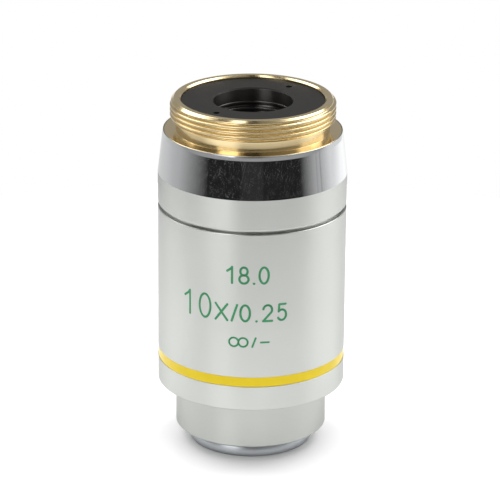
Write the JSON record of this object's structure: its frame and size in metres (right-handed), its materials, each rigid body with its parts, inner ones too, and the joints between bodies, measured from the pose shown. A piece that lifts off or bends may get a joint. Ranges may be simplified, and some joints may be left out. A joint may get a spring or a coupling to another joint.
{
  "type": "microscope objective",
  "caption": "Low-power plan phase-contrast microscope objective: chromed sleeve with a yellow band, stepped nose, brass rear thread and black stop ring.",
  "frame": {"origin": "centre of the front face, which is the lowest plane when the objective stands on its tip", "axes": "+Z along the optical axis from the specimen end towards the mounting thread; +X and +Y in the front face"},
  "size_m": [0.0286, 0.0286, 0.0547],
  "materials": {
    "satin_chrome": "satin chromium plate on turned brass, with the cone polished bright",
    "tip_chrome": "smooth grey chromium plate",
    "turned_brass": "bright turned",
    "black_anodised": "matt black anodised",
    "blackened_brass": "black oxidised",
    "colour_enamel": "gloss yellow enamel",
    "coated_glass": "polished and coated",
    "absorbing_film": "thin grey metal film",
    "screw_steel": "black oxidised steel"
  },
  "bodies": {
    "root": {"main_sleeve": "satin_chrome", "upper_sleeve": "satin_chrome", "nose_sleeve": "satin_chrome", "front_cell": "tip_chrome", "nosepiece_mount": "turned_brass", "parfocal_shim": "turned_brass", "rear_stop_ring": "black_anodised", "baffle_tube": "black_anodised", "front_lens_ring": "black_anodised", "doublet_spacer": "black_anodised", "doublet_ring": "black_anodised", "group_spacer": "black_anodised", "rear_lens_ring": "black_anodised", "stack_ring": "black_anodised", "phase_ring": "black_anodised", "lens_tube": "blackened_brass", "doublet_cell": "blackened_brass", "rear_cell": "blackened_brass", "phase_cell": "blackened_brass", "colour_band": "colour_enamel", "front_lens": "coated_glass", "lower_flint": "coated_glass", "lower_crown": "coated_glass", "upper_crown": "coated_glass", "upper_flint": "coated_glass", "rear_crown": "coated_glass", "rear_flint": "coated_glass", "phase_plate": "coated_glass", "phase_film": "absorbing_film", "grub_screws": "screw_steel"}
  },
  "joints": []
}
